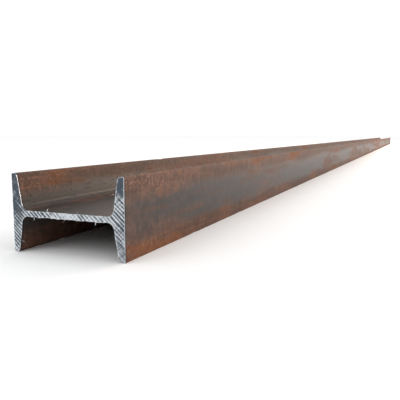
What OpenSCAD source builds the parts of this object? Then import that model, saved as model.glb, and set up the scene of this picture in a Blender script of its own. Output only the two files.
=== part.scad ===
// Hot-rolled steel H-beam with tapered flanges, lying on its flange tips.
// X runs along the bar, Y across both flanges, Z up. The origin is on the floor, under the middle of the bar.
// All sizes are in millimetres.

/* [Section] */
// Depth of the section, over the outer faces of both flanges
section_depth = 120; // [80:1:300]
// Width of each flange, from tip to tip
flange_width = 74; // [50:1:100]
// Thickness of the web
web_thickness = 5; // [3:0.1:14]
// Thickness of each flange, halfway between the web and a tip
flange_thickness = 8.4; // [6.5:0.1:20]
// Length along the flange in which its inner face falls by one millimetre
taper_run = 6; // [5:0.5:50]
// Radius of the fillet between web and flange
root_radius = 7; // [2:0.1:16]
// Radius of the rounded inner corner of each flange tip
toe_radius = 3.5; // [1:0.1:5]

/* [Bar] */
// Length of the bar, which is sawn square at both ends
bar_length = 6000; // [1000:100:12000]

/* [Hidden] */
$fn = 96;

// Length of flange that stands out from each face of the web
outstand = (flange_width - web_thickness) / 2;
// Taper of a flange's inner face as a slope, and the unit vector that points straight out of that face
taper = 1 / taper_run;
face_normal = [1, taper] / sqrt(1 + taper * taper);
// Flange thickness where the tapered face meets the web
root_thickness = flange_thickness + taper * outstand / 2;
// Length by which a cutting shape stands out of the steel, and a filling shape sinks into it
overlap = 1;
// Extra radius that makes a circle cross the faces that it would otherwise only touch
hair = 0.0002;

// A quarter of the section is drawn with x inwards from the flange's outer face and y outwards from the web's face.

// Distance from the flange's outer face to a point that is a given distance outside the tapered face, at height y
function beside_taper(y, outside) = root_thickness - taper * y + outside / face_normal[0];

// The corner between two faces, less the round that touches both. The faces are seen from the round's centre along
// the unit vectors a and b, and the corner reaches past them by the overlap.
module corner_without_round(centre, a, b, radius) {
    reach = radius + overlap;
    translate(centre) {
        difference() {
            polygon([[0, 0], reach * a, reach * (a + b) / (1 + a * b), reach * b]);
            circle(r = radius + hair);
        }
    }
}

// Steel that fills the corner between the web and one half of a flange
module root_fillet() {
    corner_without_round(
        centre = [beside_taper(root_radius, root_radius), root_radius],
        a = [0, -1],
        b = -face_normal,
        radius = root_radius
    );
}

// Steel that is missing from the inner corner of a flange tip
module toe_rounding() {
    height = outstand - toe_radius;
    corner_without_round(
        centre = [beside_taper(height, -toe_radius), height],
        a = [0, 1],
        b = face_normal,
        radius = toe_radius
    );
}

// The two quarters above the web
module on_both_flanges() {
    for (side = [0, 1])
        mirror([side, 0])
            translate([section_depth / 2, web_thickness / 2])
                mirror([1, 0])
                    children();
}

// The trough between the flanges above the web, which runs out past the flange tips
module trough() {
    bottom = web_thickness / 2;
    top = flange_width / 2 + overlap;
    half_at_bottom = section_depth / 2 - root_thickness;
    half_at_top = half_at_bottom + taper * (outstand + overlap);
    difference() {
        polygon([
            [-half_at_bottom, bottom],
            [half_at_bottom, bottom],
            [half_at_top, top],
            [-half_at_top, top]
        ]);
        on_both_flanges() root_fillet();
    }
}

module section() {
    difference() {
        square([section_depth, flange_width], center = true);
        for (level = [0, 1]) {
            mirror([0, level]) {
                trough();
                on_both_flanges() toe_rounding();
            }
        }
    }
}

module h_beam() {
    color("dimgray")
        translate([-bar_length / 2, 0, flange_width / 2])
            rotate([90, 0, 90])
                linear_extrude(height = bar_length)
                    section();
}

h_beam();
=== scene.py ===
# %% [markdown]
# # A steel H-beam
#
# A hot-rolled steel beam, six metres long, lying on its flange tips. The rolls leave flanges that taper,
# fillets where they meet the web and rounded toes at their tips. A saw leaves the two ends bright and
# ridged. The CAD model already has the true size; this lesson makes the same beam again with the marks of
# rolling, sawing and weather on it.

import bmesh
import bpy
import math
import random
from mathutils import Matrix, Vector


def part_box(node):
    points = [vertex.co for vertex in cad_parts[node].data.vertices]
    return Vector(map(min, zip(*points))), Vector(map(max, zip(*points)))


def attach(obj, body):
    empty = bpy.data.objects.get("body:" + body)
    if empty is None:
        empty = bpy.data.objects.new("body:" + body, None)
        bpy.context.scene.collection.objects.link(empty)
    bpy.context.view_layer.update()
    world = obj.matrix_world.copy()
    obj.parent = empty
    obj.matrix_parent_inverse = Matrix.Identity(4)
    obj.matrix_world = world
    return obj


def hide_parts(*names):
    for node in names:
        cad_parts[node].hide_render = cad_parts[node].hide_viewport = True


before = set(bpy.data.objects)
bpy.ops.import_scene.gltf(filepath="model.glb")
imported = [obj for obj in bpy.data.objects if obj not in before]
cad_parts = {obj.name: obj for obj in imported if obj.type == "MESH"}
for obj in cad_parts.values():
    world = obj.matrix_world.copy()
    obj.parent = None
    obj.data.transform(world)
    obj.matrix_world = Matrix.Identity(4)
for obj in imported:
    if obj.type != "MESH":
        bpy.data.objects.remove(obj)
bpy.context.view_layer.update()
low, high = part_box("h_beam")
LENGTH = high[0] - low[0]
MIDDLE = (low[2] + high[2]) / 2
print("the beam measures", [round(high[i] - low[i], 4) for i in range(3)], "m")

# %% [markdown]
# ## The camera
#
# The camera stands low in front of one end, to the right of the beam, and looks along it, so that the sawn
# end shows its H and the outer face of the near flange runs away to the far end. Its place is given from
# the middle of the near flange's edge: how far in front of the end, how far to the side and how far above.
# The aim and the lens could be found by trying. Here they come from the bearings of the beam's eight
# corners, so the whole length just fits.

# %% Place the camera
CAMERA_IN_FRONT = 0.355
CAMERA_TO_SIDE = 0.218
CAMERA_ABOVE = 0.072
CAMERA_MARGIN = 1.05  # how much wider the view is than the beam

near_edge = Vector((low[0], low[1], MIDDLE))
camera_at = near_edge + Vector((-CAMERA_IN_FRONT, -CAMERA_TO_SIDE, CAMERA_ABOVE))
corners = [Vector((x, y, z)) for x in (low[0], high[0]) for y in (low[1], high[1]) for z in (low[2], high[2])]


def bearing(point):
    """How far left of the beam's own direction a point lies, and how far above the camera, in radians."""
    away = Vector(point) - camera_at
    return math.atan2(away.y, away.x), math.atan2(away.z, math.hypot(away.x, away.y))


bearings = [bearing(c) for c in corners]
turn = (max(b[0] for b in bearings) + min(b[0] for b in bearings)) / 2
lift = (max(b[1] for b in bearings) + min(b[1] for b in bearings)) / 2
look = Vector((math.cos(turn) * math.cos(lift), math.sin(turn) * math.cos(lift), math.sin(lift)))

bpy.ops.object.camera_add(location=camera_at)
camera = bpy.context.object
camera.name = "camera"
camera.rotation_mode = "QUATERNION"
camera.rotation_quaternion = look.to_track_quat("-Z", "Y")
turned = camera.rotation_quaternion.to_matrix().transposed()
seen = [turned @ (c - camera_at) for c in corners]
half_width = max(max(abs(s.x), abs(s.y)) / -s.z for s in seen)
camera.data.sensor_width = 36
camera.data.lens = camera.data.sensor_width / 2 / (half_width * CAMERA_MARGIN)
camera.data.clip_start = 0.01
camera.data.clip_end = 100
bpy.context.scene.camera = camera
print("the lens is", round(camera.data.lens, 1), "mm")
print("it looks", round(math.degrees(turn), 1), "degrees to the left of the beam")

# %% [markdown]
# ## The floor
#
# Dark steel needs a bright, even room around it. A backdrop could be a curved sheet. Here the floor is one
# large white disc, which meets a white sky without a horizon. It belongs to the stage and not to the beam.

# %% Make the floor
FLOOR_REACH = 40
FLOOR_WHITE = 0.9

bpy.ops.mesh.primitive_circle_add(vertices=96, radius=FLOOR_REACH, fill_type="NGON", location=(0, 0, 0))
floor = bpy.context.object
floor.name = "floor"
floor_paint = bpy.data.materials.new("floor_paint")
floor_paint.use_nodes = True
floor_shader = floor_paint.node_tree.nodes["Principled BSDF"]
floor_shader.inputs["Base Color"].default_value = (FLOOR_WHITE, FLOOR_WHITE, FLOOR_WHITE, 1)
floor_shader.inputs["Roughness"].default_value = 0.9
floor.data.materials.append(floor_paint)
print("the floor is", 2 * FLOOR_REACH, "m across")

# %% [markdown]
# ## The light
#
# An even white sky lights every side softly, and it could do alone. Two soft lamps add what it can't. One
# gives the sawn end a cold glint. The other is larger and warm and stands far down the beam, so that the
# outer face gets paler and warmer on its way there.

# %% Light it
SKY_STRENGTH = 1.08

world = bpy.data.worlds.new("white_sky")
bpy.context.scene.world = world
world.use_nodes = True
world.node_tree.nodes["Background"].inputs["Color"].default_value = (1, 1, 1, 1)
world.node_tree.nodes["Background"].inputs["Strength"].default_value = SKY_STRENGTH
bpy.context.scene.view_settings.view_transform = "Standard"


def soft_lamp(name, at, towards, size, watts, colour):
    """A square area lamp that faces a point."""
    bpy.ops.object.light_add(type="AREA", location=at)
    lamp = bpy.context.object
    lamp.name = name
    lamp.rotation_mode = "QUATERNION"
    lamp.rotation_quaternion = (Vector(towards) - Vector(at)).to_track_quat("-Z", "Y")
    lamp.data.shape = "SQUARE"
    lamp.data.size = size
    lamp.data.energy = watts
    lamp.data.color = colour
    print(name, "gives", watts, "watts")


soft_lamp("end_lamp", (low[0] - 1.6, 0.9, 1.3), (low[0], 0, MIDDLE), 1.2, 8, (0.93, 0.97, 1.0))
soft_lamp("far_lamp", (2.2, -2.6, 1.6), (1.2, 0, MIDDLE), 2.0, 150, (1.0, 0.79, 0.63))

# %% [markdown]
# ## Tools for editing by place
#
# An operator acts on all that is selected, so each step starts with nothing selected and then picks
# vertices, edges or faces in code. They could be picked by their numbers, but those change with every edit.
# A test of where a part lies stays true.

# %% Tools for editing by place
CLOSE = 1e-6


def edit(piece):
    """Opens a piece in edit mode with nothing selected."""
    if bpy.context.object and bpy.context.object.mode == "EDIT":
        bpy.ops.object.mode_set(mode="OBJECT")
    bpy.ops.object.select_all(action="DESELECT")
    bpy.context.view_layer.objects.active = piece
    piece.select_set(True)
    bpy.ops.object.mode_set(mode="EDIT")
    bpy.ops.mesh.select_all(action="DESELECT")


def choose(piece, kind, wanted):
    """Selects the vertices, edges or faces that a test picks out by place, and says how many."""
    bpy.ops.mesh.select_all(action="DESELECT")
    bpy.ops.mesh.select_mode(type={"verts": "VERT", "edges": "EDGE", "faces": "FACE"}[kind])
    mesh = bmesh.from_edit_mesh(piece.data)
    picked = [part for part in getattr(mesh, kind) if wanted(part)]
    for part in picked:
        part.select_set(True)
    bmesh.update_edit_mesh(piece.data)
    return len(picked)


def near(a, b):
    return abs(a - b) < CLOSE


def move(by):
    bpy.ops.transform.translate(value=by)


print("two places closer than", CLOSE * 1000, "mm count as one")

# %% [markdown]
# ## The section
#
# The beam's section could be drawn as one curve and filled. Here it grows the way the rolls form it: a flat
# strip for the web, whose two edges are extruded into flanges. Moving the inner corner of each tip outwards
# gives the taper.

# %% Draw the section
WEB = 0.005
FLANGE = 0.0084  # halfway along each outstand
TAPER = 1 / 6
OUTSTAND = (high[2] - low[2] - WEB) / 2
ROOT = FLANGE + TAPER * OUTSTAND / 2
TIP = FLANGE - TAPER * OUTSTAND / 2


def on_flange_root(edge, side, level):
    """Whether an edge is the top or bottom of the strip's outer part, where a flange grows."""
    at_level = all(near(v.co.z, MIDDLE + level * WEB / 2) for v in edge.verts)
    return at_level and all(side * v.co.y > high[1] - ROOT - CLOSE for v in edge.verts)


bpy.ops.object.select_all(action="DESELECT")
bpy.ops.mesh.primitive_plane_add(size=1, location=(low[0], 0, MIDDLE), rotation=(0, -math.pi / 2, 0))
beam = bpy.context.object
beam.name = "beam_steel"
bpy.ops.object.transform_apply(location=True, rotation=True, scale=True)
edit(beam)
bpy.ops.mesh.select_all(action="SELECT")
bpy.ops.transform.resize(value=(1, 2 * (high[1] - ROOT), WEB), center_override=(low[0], 0, MIDDLE))
for side in (-1, 1):
    choose(beam, "edges", lambda e: all(near(v.co.y, side * (high[1] - ROOT)) for v in e.verts))
    bpy.ops.mesh.extrude_edges_move(TRANSFORM_OT_translate={"value": (0, side * ROOT, 0)})
for side in (-1, 1):
    for level in (-1, 1):
        choose(beam, "edges", lambda e: on_flange_root(e, side, level))
        bpy.ops.mesh.extrude_edges_move(TRANSFORM_OT_translate={"value": (0, 0, level * OUTSTAND)})
for side in (-1, 1):
    choose(beam, "verts", lambda v: near(v.co.y, side * (high[1] - ROOT)) and abs(v.co.z - MIDDLE) > WEB)
    move((0, side * (ROOT - TIP), 0))
bpy.ops.mesh.select_all(action="SELECT")
bpy.ops.mesh.dissolve_faces()
mesh = bmesh.from_edit_mesh(beam.data)
print("the section has", len(mesh.faces), "face with", len(mesh.verts), "corners")

# %% [markdown]
# The rolls leave a fillet where a flange meets the web, a rounded toe inside each tip and a small round
# outside it. Arcs could be drawn point by point, but a bevel of single corners gives them with one
# operator. It is measured along the corner's two sides, so each radius is turned into that length with the
# angle between the sides.

# %% Round its fillets, toes and corners
ROOT_RADIUS = 0.007
TOE_RADIUS = 0.0035
CORNER_RADIUS = 0.0011
TAPER_CORNER = math.pi / 2 + math.atan(TAPER)


def round_corners(wanted, radius, angle, steps):
    """Rounds corners of the flat section to a radius, given the angle between their sides."""
    count = choose(beam, "verts", wanted)
    bpy.ops.mesh.bevel(
        offset_type="OFFSET",
        offset=radius / math.tan(angle / 2),
        segments=steps,
        profile=0.5,
        affect="VERTICES",
    )
    return count


def at_outer_corner(v):
    return near(abs(v.co.y), high[1]) and near(abs(v.co.z - MIDDLE), high[2] - MIDDLE)


fillets = round_corners(lambda v: near(abs(v.co.y), high[1] - ROOT), ROOT_RADIUS, TAPER_CORNER, 6)
toes = round_corners(lambda v: near(abs(v.co.y), high[1] - TIP), TOE_RADIUS, TAPER_CORNER, 5)
outer = round_corners(at_outer_corner, CORNER_RADIUS, math.pi / 2, 3)
mesh = bmesh.from_edit_mesh(beam.data)
mesh.faces.ensure_lookup_table()
OUTLINE = [(v.co.y, v.co.z) for v in mesh.faces[0].verts]
bpy.ops.object.mode_set(mode="OBJECT")
print("rounded", fillets, "fillets,", toes, "toes and", outer, "outer corners")
print("the outline has", len(OUTLINE), "points")

# %% [markdown]
# ## The bar
#
# Hot steel comes out of the rolls as one endless bar. A single extrusion along X would give the same solid.
# It is made in steps instead: short ones at the two ends leave rings of points for the marks of the saw,
# and long ones between them mark off stretches that are cut into rings later on.

# %% Extrude the bar
END_RINGS = [0.0007, 0.002, 0.004, 0.008]  # distances from a sawn end
# Where each stretch of the bar stops, and how many rings it gets
RING_STOPS = [(0.4, 56), (1.2, 64), (2.0, 32), (4.0, 64), (4.8, 32), (5.6, 64), (LENGTH - END_RINGS[-1], 56)]

far_end_rings = [LENGTH - ring for ring in reversed(END_RINGS[:3])]
stations = END_RINGS + [stop for stop, _ in RING_STOPS] + far_end_rings + [LENGTH]
edit(beam)
at = 0
for station in stations:
    choose(beam, "faces", lambda f: all(near(v.co.x, low[0] + at) for v in f.verts))
    bpy.ops.mesh.extrude_region_move(TRANSFORM_OT_translate={"value": (station - at, 0, 0)})
    at = station
bpy.ops.mesh.select_all(action="SELECT")
bpy.ops.mesh.normals_make_consistent(inside=False)
mesh = bmesh.from_edit_mesh(beam.data)
print("the bar has", len(mesh.faces), "faces; its rings stand at", [round(x, 3) for x in stations])

# %% [markdown]
# ## The sawn ends
#
# A saw leaves slanting ridges about three millimetres apart, deep in some places and nearly gone in others.
# Parts of the cut lie a little lower and stay dull, and a narrow rim stands all round. A noise texture
# could fake this, but then the edge would stay straight. So the rim is inset, the end is cut by slanting
# planes, which stand for the crests and the hollows between them, and the points are pushed in by the depth
# that the cut has there.

# %% Describe the cut
SAW_SLANT = math.radians(42)  # of the ridges, up from the level
SAW_PITCH = 0.0028
SAW_DEPTH = 0.00030
DEPTH_STEP = 0.00002
RIM = 0.0006
RIM_SHARE = 0.35  # of the ridges' depth that shows at the rim
CREST_SHARE = (0.0, 0.2)  # of the depth, at a crest
HOLLOW_SHARE = (0.6, 1.0)
UNEVEN = (0.75, 1.25)  # of half the pitch, from a crest to the next hollow
CUT_REACH = 0.075  # across the ridges, from the middle past the furthest corner
PATCH_PLATEAU = 1.3  # above 1, a patch is at full strength round its middle
END_FACING = 0.5  # how much of X a normal has at least, for its face to be part of an end
saw_dice = random.Random(12)
FAINT_RIDGES = 0.38  # of the ridges' depth, away from the ridged patches
# Strongly ridged and dull patches of the cut: across, up from the middle, reach and strength
RIDGED = [
    (-0.056, 0.000, 0.023, 1.0),
    (0.034, 0.0, 0.034, 1.0),
    (0.056, -0.022, 0.020, 1.0),
    (-0.020, 0.0, 0.018, 0.6),
]
DULL = [
    (-0.0545, 0.034, 0.023, 1.0),
    (-0.0560, -0.026, 0.034, 0.44),
    (0.0545, 0.028, 0.026, 1.0),
    (0.0545, 0.008, 0.018, 1.0),
]


def across(point, mirror):
    """How far a point lies from the beam's middle, square to the ridges."""
    return -mirror * point.y * math.sin(SAW_SLANT) + (point.z - MIDDLE) * math.cos(SAW_SLANT)


def saw_lines():
    """The crests and hollows in turn, as pairs of a place across the ridges and a depth."""
    place, lines = -CUT_REACH, []
    while place < CUT_REACH:
        hollow = len(lines) % 2
        share = saw_dice.uniform(*HOLLOW_SHARE) if hollow else saw_dice.uniform(*CREST_SHARE)
        lines.append((place, SAW_DEPTH * share))
        place += SAW_PITCH / 2 * saw_dice.uniform(*UNEVEN)
    return lines


def depth_between(lines, place):
    """The depth at a place between a crest and a hollow."""
    for (a, deep_a), (b, deep_b) in zip(lines, lines[1:]):
        if a <= place <= b:
            return deep_a + (deep_b - deep_a) * (place - a) / (b - a)
    return 0


def share_of(patches_of_cut, point, mirror):
    """How far a point is inside patches of the cut, from 0 to 1."""
    best = 0
    for y, z, reach, strength in patches_of_cut:
        distance = math.hypot(point.y - mirror * y, point.z - MIDDLE - z) / reach
        best = max(best, strength * min(1, max(0, PATCH_PLATEAU * (1 - distance))))
    return best


def is_rim(vertex):
    return any(abs(f.normal.x) < END_FACING for f in vertex.link_faces)


def depth_at(vertex, lines, mirror):
    ridge = depth_between(lines, across(vertex.co, mirror))
    strength = FAINT_RIDGES + (1 - FAINT_RIDGES) * share_of(RIDGED, vertex.co, mirror)
    if is_rim(vertex):
        return ridge * strength * RIM_SHARE
    return max(ridge * strength, (0.7 * SAW_DEPTH + 0.3 * ridge) * share_of(DULL, vertex.co, mirror))


print("the saw's ridges stand", SAW_PITCH * 1000, "mm apart and are up to", SAW_DEPTH * 1000, "mm deep")

# %% [markdown]
# Each end is cut in the same way, and the far one is the mirror image of the near one with ridges of its
# own. The rim is inset, every crest and hollow is bisected through the end, and all points of one depth are
# pushed in together. A displaced grid could do it too, but it would need thousands of faces to look as
# crisp.

# %% Cut the ridges
def on_end(face, end_x):
    return all(near(v.co.x, end_x) for v in face.verts)


def cut_ridges(end_x, inwards, mirror):
    """Cuts one end, and says how many ridges it has."""
    lines = saw_lines()
    choose(beam, "faces", lambda f: on_end(f, end_x))
    bpy.ops.mesh.inset(thickness=RIM, depth=0)
    for place, _ in lines:
        choose(beam, "faces", lambda f: on_end(f, end_x))
        bpy.ops.mesh.bisect(
            plane_co=(end_x, -mirror * place * math.sin(SAW_SLANT), MIDDLE + place * math.cos(SAW_SLANT)),
            plane_no=(0, -mirror * math.sin(SAW_SLANT), math.cos(SAW_SLANT)),
        )
    mesh = bmesh.from_edit_mesh(beam.data)
    cut = [v for v in mesh.verts if near(v.co.x, end_x)]
    depths = {v.index: round(depth_at(v, lines, mirror) / DEPTH_STEP) for v in cut}
    for step in range(1, max(depths.values()) + 1):
        if choose(beam, "verts", lambda v: depths.get(v.index) == step):
            move((inwards * step * DEPTH_STEP, 0, 0))
    return len(lines) // 2


edit(beam)
near_ridges = cut_ridges(low[0], 1, 1)
far_ridges = cut_ridges(high[0], -1, -1)
print("cut", near_ridges, "ridges at the near end and", far_ridges, "at the far end")

# %% [markdown]
# The blade pushes a ragged burr over the edges where it leaves the steel, under the web and on the inner
# sides of the flanges. A separate strip of mesh could stand for it. Here the cut's own edge points are
# moved outwards by uneven waves, so that the burr is one with the steel. Points on the outer faces and the
# tips stay, which keeps the true size.

# %% Raise the burr
BURR_STEP = 0.00005
WEB_BURR_END = high[1] - ROOT - 0.006  # off the beam's middle, where the fillets start
FLANGE_BURR = (0.012, 0.033)  # off the web's middle, along a flange's inner side


def at_edge(vertex):
    """Whether a vertex is on the sawn edge: within the cut's depth of an end, and part of a long face."""
    return LENGTH / 2 - abs(vertex.co.x) < SAW_DEPTH + CLOSE and is_rim(vertex)


def raggedness(vertex):
    """From 0 to 1 along the edge, in uneven waves."""
    y, z = vertex.co.y, vertex.co.z
    waves = math.sin(900 * y + 700 * z) + math.sin(2300 * y - 1700 * z)
    waves += math.sin(310 * y + 420 * z + vertex.co.x)
    return min(1, max(0, 0.45 + 0.25 * waves))


def raise_burr(wanted, direction, most):
    """Moves edge points by up to a given height, and says how many."""
    mesh = bmesh.from_edit_mesh(beam.data)
    edge = [v for v in mesh.verts if at_edge(v) and wanted(v.co)]
    lifts = {v.index: round(most * raggedness(v) / BURR_STEP) for v in edge}
    for step in range(1, max(lifts.values()) + 1):
        if choose(beam, "verts", lambda v: lifts.get(v.index) == step):
            move([part * step * BURR_STEP for part in direction])
    return len(lifts)


def beside_web(co):
    return abs(co.y) < WEB_BURR_END


def on_inner_side(co):
    inside = abs(co.y) < high[1] - TIP - 0.0005
    return inside and FLANGE_BURR[0] < abs(co.z - MIDDLE) < FLANGE_BURR[1]


print(
    "burr points:",
    raise_burr(lambda co: beside_web(co) and co.z < MIDDLE, (0, 0, -1), 0.0009),
    raise_burr(lambda co: beside_web(co) and co.z > MIDDLE, (0, 0, 1), 0.0004),
    raise_burr(lambda co: on_inner_side(co) and co.y < 0, (0, 1, 0), 0.0005),
    raise_burr(lambda co: on_inner_side(co) and co.y > 0, (0, -1, 0), 0.0005),
)

# %% [markdown]
# ## Rings along the bar
#
# The long faces still run from one end to the other with nothing to bend. Subdividing the edges that run
# along the bar cuts it into rings. A loop cut would do the same by hand, but it needs a window. The rings
# stand close together near the ends, which are looked at, and further apart between them.

# %% Cut the long stretch into rings
start = END_RINGS[-1]
for stop, rings in RING_STOPS:
    choose(
        beam,
        "edges",
        lambda e: all(low[0] + start - CLOSE < v.co.x < low[0] + stop + CLOSE for v in e.verts)
        and abs(e.verts[0].co.x - e.verts[1].co.x) > END_RINGS[-1],
    )
    bpy.ops.mesh.subdivide(number_cuts=rings - 1)
    start = stop
mesh = bmesh.from_edit_mesh(beam.data)
print("the beam has", len(mesh.faces), "faces")

# %% [markdown]
# ## Knocks from handling
#
# A beam that has been lifted and stacked has small dents along its flange tips. They could be cut out, but
# real ones are pressed. So each is made by moving one point with proportional editing, and its neighbours
# follow less and less. All go inwards, so the beam doesn't grow.

# %% Press small dents into the tips
DENT_PLACES = (0.05, 0.13, 0.31, 0.52, 0.85, 1.3, 2.1, 3.2, 4.4, 5.1, 5.7, 5.9)  # from the near end
DENT_DEPTH = (0.0004, 0.0009)
DENT_REACH = (0.009, 0.014)
DENT_SIDEWAYS = 0.5  # of its depth
DENT_STRAY = 0.02  # along the beam, from its place
dent_dice = random.Random(5)


def press(spot, by, reach):
    """Moves the point nearest to a spot, and its neighbours with it."""
    mesh = bmesh.from_edit_mesh(beam.data)
    nearest = min(mesh.verts, key=lambda v: (v.co - spot).length).index
    choose(beam, "verts", lambda v: v.index == nearest)
    bpy.ops.transform.translate(
        value=by,
        use_proportional_edit=True,
        use_proportional_connected=True,
        proportional_edit_falloff="SMOOTH",
        proportional_size=reach,
    )


dents = 0
for along in DENT_PLACES:
    for side in (-1, 1):
        level = dent_dice.choice((low[2], high[2]))
        x = low[0] + along + dent_dice.uniform(-DENT_STRAY, DENT_STRAY)
        depth = dent_dice.uniform(*DENT_DEPTH)
        inwards = depth if level == low[2] else -depth
        by = (0, -side * DENT_SIDEWAYS * depth, inwards)
        press(Vector((x, side * high[1], level)), by, dent_dice.uniform(*DENT_REACH))
        dents += 1
bpy.ops.object.mode_set(mode="OBJECT")
bpy.ops.object.shade_smooth_by_angle(angle=math.radians(30))
print("pressed", dents, "dents")

# %% [markdown]
# ## Chips of the cut
#
# A few chips hang on the sawn edges. A bent curve with a flat profile could make one. Here a narrow plane's
# edge is spun round an axis beside it, because that is how a chip curls away from the blade, and each turn
# narrows it to a point. Then it is given a thickness and turned. The chips are joined to the beam once they
# have their bright finish.

# %% Curl the chips
CHIP_THICKNESS = 0.00018
CHIP_STEPS = 8
CHIP_GAP = 0.0003  # between a chip and the plane of the end
CHIP_NARROWING = 0.84  # of the width, at each step of the spin
FAR_CHIPS = 5  # how many of the chips hang on the far end too
# From the middle of the near end: across and up; then radius, width, sweep, lean and turn
CHIPS = [
    (0.021, 0.0027, 0.0012, 0.0022, 215, 10, -80),
    (-0.012, 0.0026, 0.0009, 0.0018, 150, -15, -105),
    (0.037, -0.0028, 0.0015, 0.0026, 170, 180, -75),
    (0.004, -0.0030, 0.0013, 0.0019, 230, 190, -100),
    (-0.030, -0.0028, 0.0017, 0.0024, 150, 170, -90),
    (-0.0500, 0.021, 0.0011, 0.0012, 180, -80, 0),
    (0.0510, -0.026, 0.0012, 0.0013, 160, 95, 0),
]


def swept(co, radius):
    """How far round the curl a point lies, in radians."""
    return math.atan2(co.y - 0.25 * radius, radius - co.z) % (2 * math.pi)


def curl_chip(end_x, inwards, across_by, up_by, radius, width, sweep, lean, turn):
    """A curled strip of steel at a point of the sawn edge."""
    bpy.ops.object.select_all(action="DESELECT")
    bpy.ops.mesh.primitive_plane_add(size=1, location=(0, 0, 0))
    chip = bpy.context.object
    chip.name = "chip"
    edit(chip)
    bpy.ops.mesh.select_all(action="SELECT")
    bpy.ops.transform.resize(value=(width, radius / 2, 1), center_override=(0, 0, 0))
    choose(chip, "edges", lambda e: all(v.co.y > 0 for v in e.verts))
    turned = math.radians(sweep)
    bpy.ops.mesh.spin(steps=CHIP_STEPS, angle=turned, center=(0, radius / 4, radius), axis=(1, 0, 0))
    for step in range(CHIP_STEPS):
        # each step narrows all that follows, so the curl runs to a point
        so_far = turned * (step + 0.5) / CHIP_STEPS
        choose(chip, "verts", lambda v: v.co.z > CLOSE and swept(v.co, radius) > so_far)
        bpy.ops.transform.resize(value=(CHIP_NARROWING, 1, 1), center_override=(0, 0, 0))
    bpy.ops.object.mode_set(mode="OBJECT")
    thicken = chip.modifiers.new("thickness", "SOLIDIFY")
    thicken.thickness = CHIP_THICKNESS
    thicken.offset = 0
    bpy.ops.object.modifier_apply(modifier=thicken.name)
    edit(chip)
    bpy.ops.mesh.select_all(action="SELECT")
    bpy.ops.mesh.normals_make_consistent(inside=False)
    bpy.ops.object.mode_set(mode="OBJECT")
    chip.rotation_euler = (math.radians(lean), 0, math.radians(inwards * turn))
    bpy.ops.object.transform_apply(location=False, rotation=True, scale=True)
    reach = max(-inwards * v.co.x for v in chip.data.vertices)
    chip.location = (end_x + inwards * (reach + CHIP_GAP), inwards * across_by, MIDDLE + up_by)
    bpy.ops.object.transform_apply(location=True, rotation=False, scale=False)
    return chip


chips = [curl_chip(low[0], 1, *chip) for chip in CHIPS]
chips += [curl_chip(high[0], -1, *chip) for chip in CHIPS[:FAR_CHIPS]]
print("curled", len(chips), "chips")

# %% [markdown]
# ## Shader helpers
#
# Both finishes are built from the same few moves: stretch a noise, turn it into a mask, and mix a colour
# through it. Nodes could be placed and linked one by one, but a finish reads more easily when each move is
# one short call.

# %% Helpers for shader nodes
def add(tree, kind, inputs=None, **settings):
    """A node with its settings and inputs. An input may be a value or another node's output."""
    made = tree.nodes.new(kind)
    for name, value in settings.items():
        setattr(made, name, value)
    for name, value in (inputs or {}).items():
        if isinstance(value, bpy.types.NodeSocket):
            tree.links.new(value, made.inputs[name])
        else:
            made.inputs[name].default_value = value
    return made


def calc(tree, operation, *values):
    """The result of a sum on numbers or outputs."""
    return add(tree, "ShaderNodeMath", dict(enumerate(values)), operation=operation).outputs[0]


def rise(tree, value, start, end, to_low=0.0, to_high=1.0):
    """Goes smoothly from one number to another while a value goes from start to end."""
    inputs = {"Value": value, "From Min": start, "From Max": end, "To Min": to_low, "To Max": to_high}
    return add(tree, "ShaderNodeMapRange", inputs, interpolation_type="SMOOTHSTEP").outputs[0]


def blend(tree, share, under, over, mode="MIX"):
    """One colour over another, as far as a share says."""
    made = add(tree, "ShaderNodeMix", {0: share, 6: under, 7: over}, data_type="RGBA", blend_type=mode)
    return made.outputs[2]


def new_group(name, inputs, outputs):
    """A node group: gives its tree, its input sockets and the sockets of its output node."""
    tree = bpy.data.node_groups.new(name, "ShaderNodeTree")
    for label, kind, value in inputs:
        socket = tree.interface.new_socket(label, in_out="INPUT", socket_type="NodeSocket" + kind)
        if value is not None:
            socket.default_value = value
    for label, kind in outputs:
        tree.interface.new_socket(label, in_out="OUTPUT", socket_type="NodeSocket" + kind)
    return tree, tree.nodes.new("NodeGroupInput").outputs, tree.nodes.new("NodeGroupOutput").inputs


def new_finish(name):
    """A material: gives itself, its tree, its shader's inputs and the place on the piece in metres."""
    finish = bpy.data.materials.new(name)
    finish.use_nodes = True
    tree = finish.node_tree
    place = add(tree, "ShaderNodeTexCoord").outputs["Object"]
    return finish, tree, tree.nodes["Principled BSDF"].inputs, place


print("six helpers are ready: add, calc, rise, blend, new_group and new_finish")

# %% [markdown]
# ## Patches
#
# One node group makes nearly every mark on this beam. It stretches a place, reads a four-dimensional noise
# there and gives the noise and a soft-edged mask. A stretch of 5 along and 60 across makes long streaks,
# and 300 each way makes pits. The seed is the noise's fourth dimension, so that no two uses look alike.

# %% Group: patches
patches, given, result = new_group(
    "patches",
    [
        ("Place", "Vector", None),
        ("Stretch", "Vector", (1, 1, 1)),
        ("Detail", "Float", 4.0),
        ("Start", "Float", 0.45),
        ("End", "Float", 0.6),
        ("Seed", "Float", 0.0),
    ],
    [("Mask", "Float"), ("Noise", "Float")],
)
axis_by_axis = {0: given["Place"], 1: given["Stretch"]}
stretched = add(patches, "ShaderNodeVectorMath", axis_by_axis, operation="MULTIPLY").outputs[0]
cloud_inputs = {
    "Vector": stretched,
    "W": given["Seed"],
    "Scale": 1.0,
    "Detail": given["Detail"],
    "Roughness": 0.55,
}
cloud = add(patches, "ShaderNodeTexNoise", cloud_inputs, noise_dimensions="4D").outputs[0]
patches.links.new(rise(patches, cloud, given["Start"], given["End"]), result["Mask"])
patches.links.new(cloud, result["Noise"])


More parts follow.
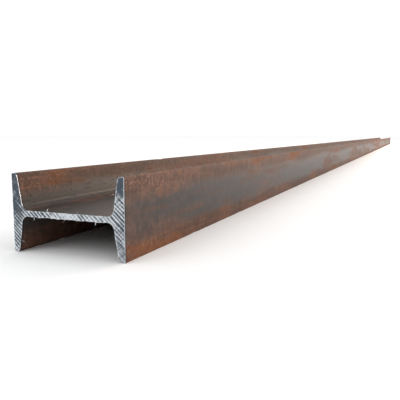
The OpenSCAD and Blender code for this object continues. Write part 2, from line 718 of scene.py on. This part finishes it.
def patch(tree, place, seed, stretch, start, end, detail=4.0):
    """Places the group in a finish, and gives its mask and its noise."""
    inputs = {"Place": place, "Stretch": stretch, "Detail": detail, "Start": start, "End": end, "Seed": seed}
    made = add(tree, "ShaderNodeGroup", inputs, node_tree=patches)
    return made.outputs["Mask"], made.outputs["Noise"]


print("group", patches.name, "has", len(patches.nodes), "nodes")

# %% [markdown]
# ## Rolled steel
#
# Hot steel leaves the rolls under a thin grey scale. Outdoors the scale rusts first along the flange tips,
# where water stands, and the middle of each face stays grey. A picture could hold all this, but noise that
# is read at the beam's own coordinates has no seam over six metres. The grey scale comes first, then its
# brown bands, which wander a little.

# %% Scale, bands and clouds
SCALE_GREY = (0.052, 0.044, 0.041, 1)
SCALE_BROWN = (0.072, 0.045, 0.035, 1)
# partly the scale's own greener grey, partly painted shade of the faces inside the H
INSIDE_GREY_AND_SHADE = (0.036, 0.033, 0.029, 1)
RUST_BROWN = (0.100, 0.047, 0.029, 1)
GREY_REACH = 0.012  # from the middle of a face to where the grey starts to turn brown
RUST_START = 0.028
BAND_WANDER = 0.015

rolled, tree, rolled_inputs, spot = new_finish("rolled_steel")
along, sideways, up = add(tree, "ShaderNodeSeparateXYZ", {0: spot}).outputs
from_middle = calc(tree, "ABSOLUTE", calc(tree, "SUBTRACT", up, MIDDLE))
outside = rise(tree, calc(tree, "ABSOLUTE", sideways), high[1] - 0.0015, high[1] - 0.0005)

long_cloud, _ = patch(tree, spot, 1.0, (1.6, 22, 22), 0.42, 0.60, 5.0)
colour = blend(tree, long_cloud, SCALE_GREY, SCALE_BROWN)
# Every face but the outer ones takes a darker grey: partly the scale's own greener grey, partly painted shade
# of the recess between the flanges.
colour = blend(tree, rise(tree, outside, 0, 1, 0.55, 0.0), colour, INSIDE_GREY_AND_SHADE)
_, wander = patch(tree, spot, 2.0, (5, 30, 30), 0.3, 0.7)
strayed = calc(tree, "MULTIPLY_ADD", wander, 2 * BAND_WANDER, from_middle)
band = rise(tree, strayed, BAND_WANDER + GREY_REACH, BAND_WANDER + RUST_START)
colour = blend(tree, calc(tree, "MULTIPLY", band, 0.8), colour, RUST_BROWN)
print("the grey band fades into rust from", GREY_REACH * 1000, "to", RUST_START * 1000, "mm off the middle")

# %% [markdown]
# Where the scale has cracked, rust comes through: orange and ragged near the tips, and coppery in large
# soft clouds with a mottled grain. One noise alone would look like camouflage, so a large cloud says where
# the rust is and a fine one how it breaks up. Pale streaks run up and down the outer faces, where the rain
# washes dust over them.

# %% Rust that has broken through
RUST_ORANGE = (0.200, 0.082, 0.040, 1)
RUST_COPPER = (0.265, 0.125, 0.080, 1)
PALE_DUST = (0.30, 0.235, 0.19, 1)

orange, orange_noise = patch(tree, spot, 3.0, (7, 60, 60), 0.52, 0.68, 6.0)
orange = calc(tree, "MULTIPLY", orange, rise(tree, band, 0, 1, 0.25, 0.9))
colour = blend(tree, orange, colour, RUST_ORANGE)
copper, _ = patch(tree, spot, 4.0, (2.2, 16, 16), 0.50, 0.64, 3.0)
mottle, mottling = patch(tree, spot, 5.0, (130, 110, 110), 0.40, 0.60, 7.0)
copper = calc(tree, "MULTIPLY", copper, rise(tree, mottle, 0, 1, 0.30, 0.75))
colour = blend(tree, calc(tree, "MULTIPLY", copper, 0.6), colour, RUST_COPPER)
bloom, _ = patch(tree, spot, 11.0, (240, 300, 300), 0.50, 0.60, 8.0)
bloom_here, _ = patch(tree, spot, 13.0, (7, 34, 34), 0.47, 0.64, 3.0)
bloom_here = calc(tree, "MULTIPLY", bloom_here, rise(tree, band, 0, 1, 0.08, 0.62))
bloom = calc(tree, "MULTIPLY", bloom, bloom_here)
colour = blend(tree, bloom, colour, RUST_COPPER)

combed, _ = patch(tree, spot, 6.0, (620, 45, 45), 0.54, 0.72, 3.0)
combed_here, _ = patch(tree, spot, 7.0, (3, 18, 18), 0.44, 0.60, 3.0)
combed_here = calc(tree, "MULTIPLY", combed_here, calc(tree, "MULTIPLY", outside, 0.28))
combed = calc(tree, "MULTIPLY", combed, combed_here)
colour = blend(tree, combed, colour, PALE_DUST)
print("rust, copper, bloom and streaks make it", len(tree.nodes), "nodes")

# %% [markdown]
# Small dark marks keep a large face from looking painted: scratches along the bar, pits in the scale and a
# few stains. The saw's heat also darkens the last few millimetres at each end. Modelled pits would be too
# many to afford, so the marks are dark in the colour here, and hollow in the relief further on.

# %% Pits, scratches and the heat of the saw
PIT_BLACK = (0.014, 0.011, 0.010, 1)
HEAT_BLUE = (0.018, 0.018, 0.022, 1)
HEAT_REACH = 0.0035

scratches, _ = patch(tree, spot, 8.0, (60, 700, 700), 0.655, 0.70, 2.0)
pits, _ = patch(tree, spot, 9.0, (260, 360, 360), 0.645, 0.70, 3.0)
stains, _ = patch(tree, spot, 12.0, (34, 16, 16), 0.66, 0.76, 2.0)
dark = calc(tree, "MAXIMUM", calc(tree, "MAXIMUM", scratches, pits), calc(tree, "MULTIPLY", stains, 0.5))
colour = blend(tree, calc(tree, "MULTIPLY", dark, 0.7), colour, PIT_BLACK)
from_end = calc(tree, "SUBTRACT", high[0], calc(tree, "ABSOLUTE", along))
from_end = calc(tree, "MULTIPLY_ADD", orange_noise, 0.002, from_end)
heat = rise(tree, from_end, HEAT_REACH * 0.5, HEAT_REACH * 1.4, 0.85, 0.0)
colour = blend(tree, heat, colour, HEAT_BLUE)
print("the heat of the saw fades out about", HEAT_REACH * 1000, "mm from each end")

# %% [markdown]
# The last touch on the colour is a fine grain, and a coarser mottling that makes it a little lighter and
# darker. Both could be mixed in as colours. Multiplying by a grey keeps every hue below as it is and only
# changes how light it is.

# %% Grain over it all
FINE_GRAIN = (0.78, 1.22)  # how much darker and lighter it makes the colour
MOTTLING = (0.88, 1.13)

_, grain = patch(tree, spot, 10.0, (900, 1100, 1100), 0.3, 0.7, 3.0)
fine_shade = rise(tree, grain, 0.3, 0.7, *FINE_GRAIN)
broad_shade = rise(tree, mottling, 0.32, 0.68, *MOTTLING)
shade = calc(tree, "MULTIPLY", fine_shade, broad_shade)
grey = add(tree, "ShaderNodeCombineColor", {0: shade, 1: shade, 2: shade}).outputs[0]
tree.links.new(blend(tree, 1.0, colour, grey, "MULTIPLY"), rolled_inputs["Base Color"])
rolled_inputs["Specular IOR Level"].default_value = 0.13
print("the grain makes the colour up to", round(FINE_GRAIN[1] * MOTTLING[1], 2), "times as light")

# %% [markdown]
# Bare scale has a dull sheen and rust has none, so the roughness follows the rust. The relief raises the
# crust of the rust and sinks the dark marks. It is a bump and not geometry, because none of it is deeper
# than a few hairs.

# %% Roughness and relief of the scale
rusty = calc(tree, "MAXIMUM", calc(tree, "MAXIMUM", orange, copper), calc(tree, "MULTIPLY", band, 0.45))
dullness = calc(tree, "MULTIPLY_ADD", grain, 0.3, rusty)
tree.links.new(rise(tree, dullness, 0.1, 1.2, 0.36, 0.80), rolled_inputs["Roughness"])
relief = calc(tree, "MULTIPLY_ADD", orange_noise, 0.6, calc(tree, "MULTIPLY", grain, 0.5))
relief = calc(tree, "SUBTRACT", relief, calc(tree, "MULTIPLY", dark, 0.8))
bump = add(tree, "ShaderNodeBump", {"Strength": 0.5, "Distance": 0.0004, "Height": relief})
tree.links.new(bump.outputs[0], rolled_inputs["Normal"])
print(rolled.name, "has", len(tree.nodes), "nodes")

# %% [markdown]
# ## Sawn steel
#
# Freshly sawn steel is bright metal. Its crests, within a few hundredths of a millimetre of the end, are
# polished, and its hollows and dull parts are painted dark, as painted shade and painted dark reflection.
# Stripes could be drawn with a wave texture, but they might slip off the ridges. So the colour follows the
# cut's own depth, which is the Object coordinate along the beam. A fine scoring crosses it.

# %% Sawn steel
SAWN_BRIGHT = (0.58, 0.62, 0.65, 1)
SAWN_DULL_AND_SHADE = (0.060, 0.075, 0.095, 1)
CREST_FADE = (0.00003, 0.00020)  # the depths over which a bright crest turns into a dark hollow
CUT_FADE = (0.00032, 0.00040)  # beyond the cut, where its rim and the chips are bright again

sawn, tree, sawn_inputs, spot = new_finish("sawn_steel")
along = add(tree, "ShaderNodeSeparateXYZ", {0: spot}).outputs[0]
depth = calc(tree, "SUBTRACT", high[0], calc(tree, "ABSOLUTE", along))
turned_one = add(tree, "ShaderNodeMapping", {"Vector": spot, "Rotation": (SAW_SLANT, 0, 0)}).outputs[0]
turned_other = add(tree, "ShaderNodeMapping", {"Vector": spot, "Rotation": (-SAW_SLANT, 0, 0)}).outputs[0]
_, score = patch(tree, turned_one, 1.0, (40, 60, 900), 0.35, 0.65, 3.0)
_, cross = patch(tree, turned_other, 2.0, (40, 110, 400), 0.35, 0.65, 3.0)
marks = calc(tree, "SUBTRACT", calc(tree, "ADD", score, cross), 1.0)
# The deeper the cut lies, the darker its colour: painted shade and painted dark reflection in the hollows
# between the crests and in the dull patches.
below_crests = rise(tree, depth, *CREST_FADE)
on_the_cut = rise(tree, depth, *CUT_FADE, 1, 0)
hollow = calc(tree, "MULTIPLY", below_crests, on_the_cut)
# The scoring marks are the saw's own; the darkening by depth added to them is painted shade.
scored_and_shaded = calc(tree, "MULTIPLY_ADD", marks, 1.9, hollow)
tree.links.new(blend(tree, rise(tree, scored_and_shaded, -0.15, 0.95), SAWN_BRIGHT, SAWN_DULL_AND_SHADE), sawn_inputs["Base Color"])
tree.links.new(rise(tree, score, 0.3, 0.7, 0.26, 0.46), sawn_inputs["Roughness"])
sawn_inputs["Metallic"].default_value = 0.85
scoring = calc(tree, "ADD", score, cross)
bump = add(tree, "ShaderNodeBump", {"Strength": 0.6, "Distance": 0.0002, "Height": scoring})
tree.links.new(bump.outputs[0], sawn_inputs["Normal"])
print(sawn.name, "has", len(tree.nodes), "nodes")

# %% [markdown]
# ## Finishes on the steel
#
# The bar is rolled on its long faces and sawn at its ends. The ends could be objects of their own, but the
# real beam is one piece, so its faces are picked by how far they lie from an end. The cut is shaded flat,
# to keep its ridges crisp.

# %% Put the finishes on
beam.data.materials.append(rolled)
beam.data.materials.append(sawn)
edit(beam)
ends = choose(beam, "faces", lambda f: all(LENGTH / 2 - abs(v.co.x) < END_RINGS[0] + CLOSE for v in f.verts))
beam.active_material_index = 1
bpy.ops.object.material_slot_assign()
flat = choose(beam, "faces", lambda f: abs(f.normal.x) > END_FACING)
bpy.ops.mesh.faces_shade_flat()
bpy.ops.object.mode_set(mode="OBJECT")
print(ends, "faces are sawn steel,", flat, "of them flat")

# %% [markdown]
# The chips could stay objects of their own, but they hang on the steel, so they become part of the beam.
# They get the sawn finish first, so that joining finds the beam's own slot for it.

# %% Join the chips to the beam
bar_faces = len(beam.data.polygons)
for chip in chips:
    chip.data.materials.append(sawn)
    chip.select_set(True)
bpy.context.view_layer.objects.active = beam
bpy.ops.object.join()
print("the beam has", len(beam.data.polygons), "faces with its chips")

# %% [markdown]
# ## A map for baking
#
# Where the beam is baked to pictures, its finish needs a flat map. An automatic one would give the small
# bright ends almost nothing, so the map is laid out here. The long faces are unrolled round the outline
# into three rows of two metres each, the two ends lie flat above them at a larger scale, and each face of a
# chip gets a small square.

# %% Unroll the beam
ROWS = 3
ROW_HEIGHT = 0.256
ROW_GAP = 0.004
END_SCALE = 2.75  # of the map's width for each metre of the ends
END_SHELF = ROWS * (ROW_HEIGHT + ROW_GAP) + ROW_GAP
CHIP_CELL = 0.0105
CHIP_SQUARE = 0.7  # of a cell, so that the squares stay apart
CHIP_SHELF = 0.70  # where the chips' cells start, right of the two ends

start = max(range(len(OUTLINE)), key=lambda i: OUTLINE[i][0] - OUTLINE[i][1])
ROUND = OUTLINE[start:] + OUTLINE[: start + 1]
SIDES = [math.dist(a, b) for a, b in zip(ROUND, ROUND[1:])]
AROUND = sum(SIDES)


def unrolled(y, z):
    """How far round the outline the nearest point of it lies."""
    best, passed, nearest = 0, 0, 1
    for (y0, z0), (y1, z1), side in zip(ROUND, ROUND[1:], SIDES):
        share = ((y - y0) * (y1 - y0) + (z - z0) * (z1 - z0)) / side**2
        share = min(1, max(0, share))
        gap = math.dist((y, z), (y0 + share * (y1 - y0), z0 + share * (z1 - z0)))
        if gap < nearest - 1e-9:
            nearest, best = gap, passed + share * side
        passed += side
    return best


print("the outline is", round(AROUND * 1000, 1), "mm round")

# %% [markdown]
# Each kind of face has a rule that gives the places of its corners on the map. Smart unwrapping could find
# the same faces, but it would cut and turn them as it likes, and the rows would no longer run along the
# beam.

# %% Write the map
known = {}


def round_place(co):
    """The same for a point of the mesh, worked out once for each place on the outline."""
    key = (round(co.y, 6), round(co.z, 6))
    if key not in known:
        known[key] = unrolled(*key)
    return known[key]


def long_face_map(face, corners):
    """Unrolled round the outline, in one of the rows."""
    middle_s = unrolled(face.center.y, face.center.z)
    row = min(ROWS - 1, int((face.center.x - low[0]) / (LENGTH / ROWS)))
    for co in corners:
        s = round_place(co)
        s += AROUND * round((middle_s - s) / AROUND)
        u = (co.x - low[0]) / (LENGTH / ROWS) - row
        v = row * (ROW_HEIGHT + ROW_GAP) + s / AROUND * ROW_HEIGHT
        yield ROW_GAP + u * (1 - 2 * ROW_GAP), ROW_GAP + v


def end_face_map(face, corners):
    """Flat on the shelf above the rows: the near end on the left, the far end beside it."""
    left = ROW_GAP if face.center.x < 0 else 2 * ROW_GAP + (high[1] - low[1]) * END_SCALE
    for co in corners:
        yield left + (co.y - low[1]) * END_SCALE, END_SHELF + co.z * END_SCALE


def chip_face_map(number, corners):
    """A square of its own, right of the two ends."""
    per_line = int((1 - CHIP_SHELF) / CHIP_CELL)
    u, v = CHIP_SHELF + number % per_line * CHIP_CELL, END_SHELF + number // per_line * CHIP_CELL
    square = [(0, 0), (1, 0), (1, 1), (0, 1)]
    for corner in square[: len(corners)]:
        yield u + corner[0] * CHIP_SQUARE * CHIP_CELL, v + corner[1] * CHIP_SQUARE * CHIP_CELL


while beam.data.uv_layers:
    beam.data.uv_layers.remove(beam.data.uv_layers[0])
beam_map = beam.data.uv_layers.new(name="OFBake")
for face in beam.data.polygons:
    corners = [beam.data.vertices[v].co for v in face.vertices]
    if face.index >= bar_faces:
        places = chip_face_map(face.index - bar_faces, corners)
    elif abs(face.normal.x) > END_FACING:
        places = end_face_map(face, corners)
    else:
        places = long_face_map(face, corners)
    for corner, at in zip(face.loop_indices, places):
        beam_map.data[corner].uv = at
print("mapped", len(beam.data.polygons), "faces")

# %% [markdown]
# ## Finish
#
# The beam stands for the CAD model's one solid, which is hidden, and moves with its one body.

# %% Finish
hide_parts("h_beam")
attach(beam, "root")
print("the beam is ready")
